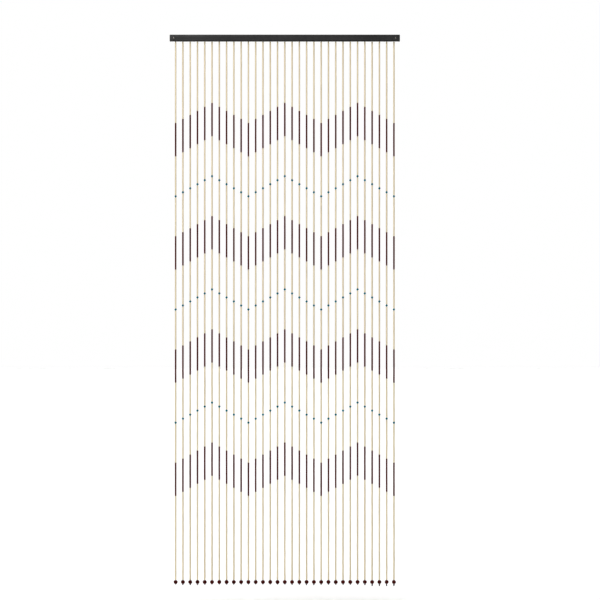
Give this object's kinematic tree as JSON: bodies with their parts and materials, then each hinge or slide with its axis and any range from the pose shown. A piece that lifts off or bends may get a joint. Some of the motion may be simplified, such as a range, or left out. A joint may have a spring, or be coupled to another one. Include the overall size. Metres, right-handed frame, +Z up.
{
  "type": "bead door curtain with rail",
  "caption": "Doorway curtain of slim tubes and small beads threaded on hanging cords in a zigzag pattern, ending in round beads, under a dark painted wooden rail.",
  "frame": {"origin": "middle of the rail's flat back face, which lies against the wall or the door frame", "axes": "+Z up, +Y towards the wall, out of the rail's back, -Y towards the room, +X along the rail to the right as seen from the room"},
  "size_m": [0.9, 0.0226, 2.1571],
  "materials": {
    "rail_paint": "charcoal paint on wood, satin, with a faint grain",
    "natural_tube": "pale natural wood tube, clear varnish",
    "dark_tube": "tube stained dark red-brown, satin varnish",
    "small_bead": "teal lacquer",
    "end_bead": "dark red-brown lacquer, glossy",
    "cord": "twisted waxed cord, matt",
    "screw_steel": "zinc plated"
  },
  "bodies": {
    "root": {"rail": "rail_paint", "strands": "natural_tube", "end_bead_01": "end_bead", "end_bead_02": "end_bead", "end_bead_03": "end_bead", "end_bead_04": "end_bead", "end_bead_05": "end_bead", "end_bead_06": "end_bead", "end_bead_07": "end_bead", "end_bead_08": "end_bead", "end_bead_09": "end_bead", "end_bead_10": "end_bead", "end_bead_11": "end_bead", "end_bead_12": "end_bead", "end_bead_13": "end_bead", "end_bead_14": "end_bead", "end_bead_15": "end_bead", "end_bead_16": "end_bead", "end_bead_17": "end_bead", "end_bead_18": "end_bead", "end_bead_19": "end_bead", "end_bead_20": "end_bead", "end_bead_21": "end_bead", "end_bead_22": "end_bead", "end_bead_23": "end_bead", "end_bead_24": "end_bead", "end_bead_25": "end_bead", "end_bead_26": "end_bead", "end_bead_27": "end_bead", "end_bead_28": "end_bead", "end_bead_29": "end_bead", "end_bead_30": "end_bead", "end_bead_31": "end_bead", "screw_left": "screw_steel", "screw_right": "screw_steel"}
  },
  "joints": []
}
